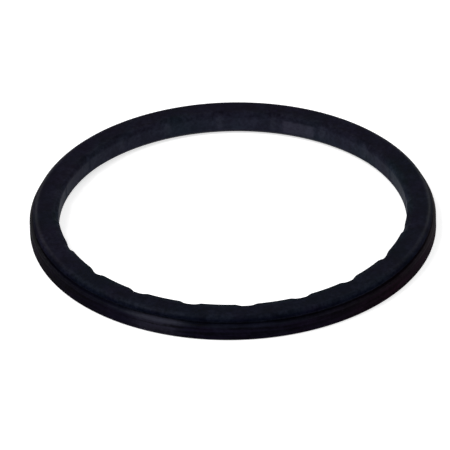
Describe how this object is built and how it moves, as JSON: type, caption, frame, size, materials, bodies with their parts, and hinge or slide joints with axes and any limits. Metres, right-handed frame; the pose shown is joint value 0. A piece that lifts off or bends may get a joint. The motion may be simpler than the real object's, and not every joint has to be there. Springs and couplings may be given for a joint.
{
  "type": "rubber oil seal ring",
  "caption": "Flat moulded rubber sealing ring with a rounded outer bead, a groove and shoulder above it, and scooped notches round the upper edge of its bore.",
  "frame": {"origin": "centre of the ring's base plane, on its axis", "axes": "+Z along the ring's axis, from the flat base to the notched top face; +X through the middle of one notch"},
  "size_m": [0.15, 0.15, 0.0091],
  "materials": {
    "rubber": "moulded black rubber, faintly blue, satin"
  },
  "bodies": {
    "root": {"seal_ring": "rubber"}
  },
  "joints": []
}
